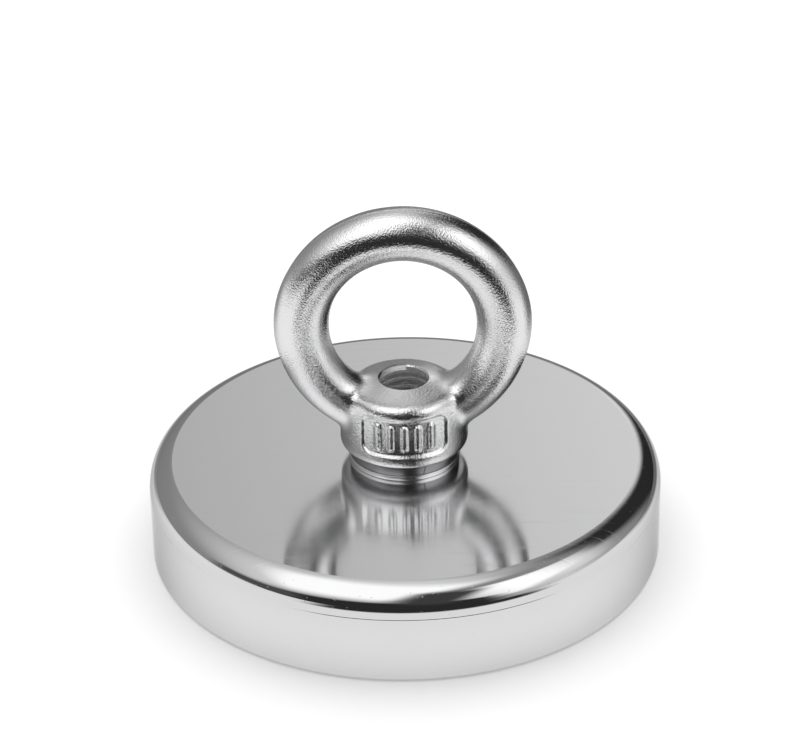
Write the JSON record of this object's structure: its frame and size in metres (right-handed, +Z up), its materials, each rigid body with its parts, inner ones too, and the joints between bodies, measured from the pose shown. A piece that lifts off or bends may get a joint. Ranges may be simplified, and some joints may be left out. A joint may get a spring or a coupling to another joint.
{
  "type": "magnet fishing magnet",
  "caption": "Round pot magnet with a flat pull face below and a screwed-on lifting eye nut above, for pulling iron out of water on a rope.",
  "frame": {"origin": "centre of the pull face, at the bottom of the pot", "axes": "+Z up along the screw and out of the pull face's back; the lifting eye lies in the XZ plane and its hole runs along Y"},
  "size_m": [0.09, 0.09, 0.065],
  "materials": {
    "pot_plating": "bright nickel plate on ground steel, almost a mirror",
    "resin": "cast dark resin, matt",
    "magnet_plating": "satin nickel plate on a pressed magnet",
    "bare_steel": "plated steel with turning marks",
    "washer_steel": "bright plated washer",
    "spring_steel": "darker spring steel, satin",
    "forged_steel": "barrel-polished and plated forging, fine grain left in the surface"
  },
  "bodies": {
    "magnet": {"pot": "pot_plating", "outer_resin": "resin", "ring_magnet": "magnet_plating", "inner_resin": "resin", "core": "bare_steel", "screw": "bare_steel", "flat_washer": "washer_steel"},
    "washer": {"lock_washer": "spring_steel"},
    "eye": {"eye_nut": "forged_steel"}
  },
  "joints": [
    {"name": "nut_turn", "type": "hinge", "parent": "magnet", "child": "washer", "pos_m": [0, 0, 0.0191], "axis": [0, 0, 1], "range_deg": [0, 1080]},
    {"name": "nut_rise", "type": "slide", "parent": "washer", "child": "eye", "axis": [0, 0, 1], "range_m": [0, 0.0045]}
  ],
  "couplings": [
    {"joint": "nut_rise", "follows": "nut_turn", "m_per_rad": 0.00023873}
  ]
}
